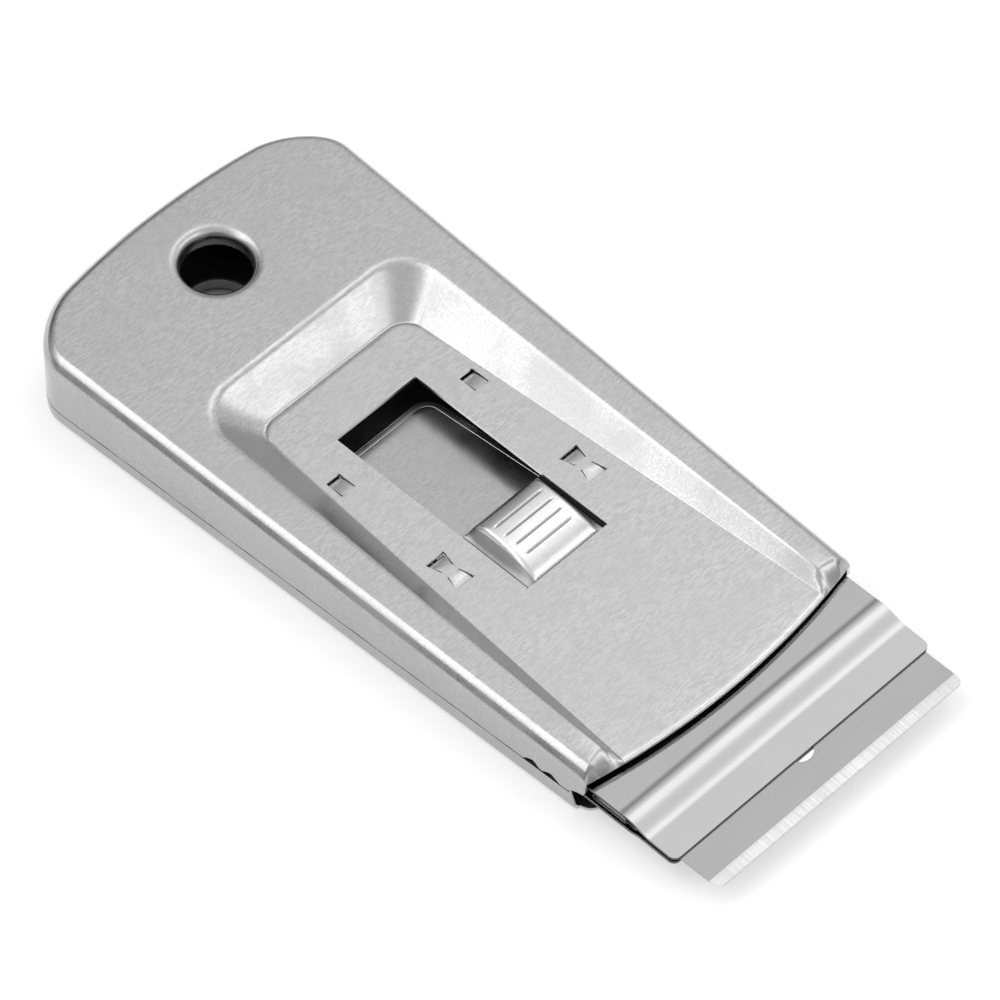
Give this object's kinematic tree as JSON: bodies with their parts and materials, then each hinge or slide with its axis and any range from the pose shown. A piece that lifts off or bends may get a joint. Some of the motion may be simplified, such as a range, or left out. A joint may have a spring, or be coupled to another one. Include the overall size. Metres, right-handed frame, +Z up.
{
  "type": "razor blade scraper",
  "caption": "Pocket scraper of pressed sheet metal: a sprung thumb slide pushes a single-edge blade out of a flat tapered handle that has a hang hole.",
  "frame": {"origin": "on the flat underside of the handle, in the middle of the overall length and width, with the blade out", "axes": "+X from the hang hole towards the cutting edge, +Y to the far side of the picture, +Z up out of the face with the window"},
  "size_m": [0.108, 0.0464, 0.0109],
  "materials": {
    "top_shell": "satin, fine grain",
    "bottom_shell": "satin, fine grain",
    "holder_plates": "polished",
    "thumb_button": "bright, lightly worn",
    "blade": "rolled strip with a ground edge",
    "blade_spine": "rolled strip",
    "rivets": "satin",
    "leaf_spring": "spring steel"
  },
  "bodies": {
    "body": {"top_shell": "top_shell", "bottom_shell": "bottom_shell"},
    "carrier": {"clamp_plate": "holder_plates", "base_plate": "holder_plates", "holder_rivet_near": "rivets", "holder_rivet_far": "rivets", "leaf_spring": "leaf_spring", "blade": "blade", "blade_spine": "blade_spine"},
    "button": {"thumb_button": "thumb_button"}
  },
  "joints": [
    {"name": "carrier_slide", "type": "slide", "parent": "body", "child": "carrier", "axis": [1, 0, 0], "range_m": [-0.0194, 0]},
    {"name": "button_press", "type": "slide", "parent": "carrier", "child": "button", "axis": [0, 0, -1], "range_m": [0, 0.0003], "stiffness_N_per_m": 2000, "springref_m": -0.0005, "deforming": ["leaf_spring"]}
  ]
}
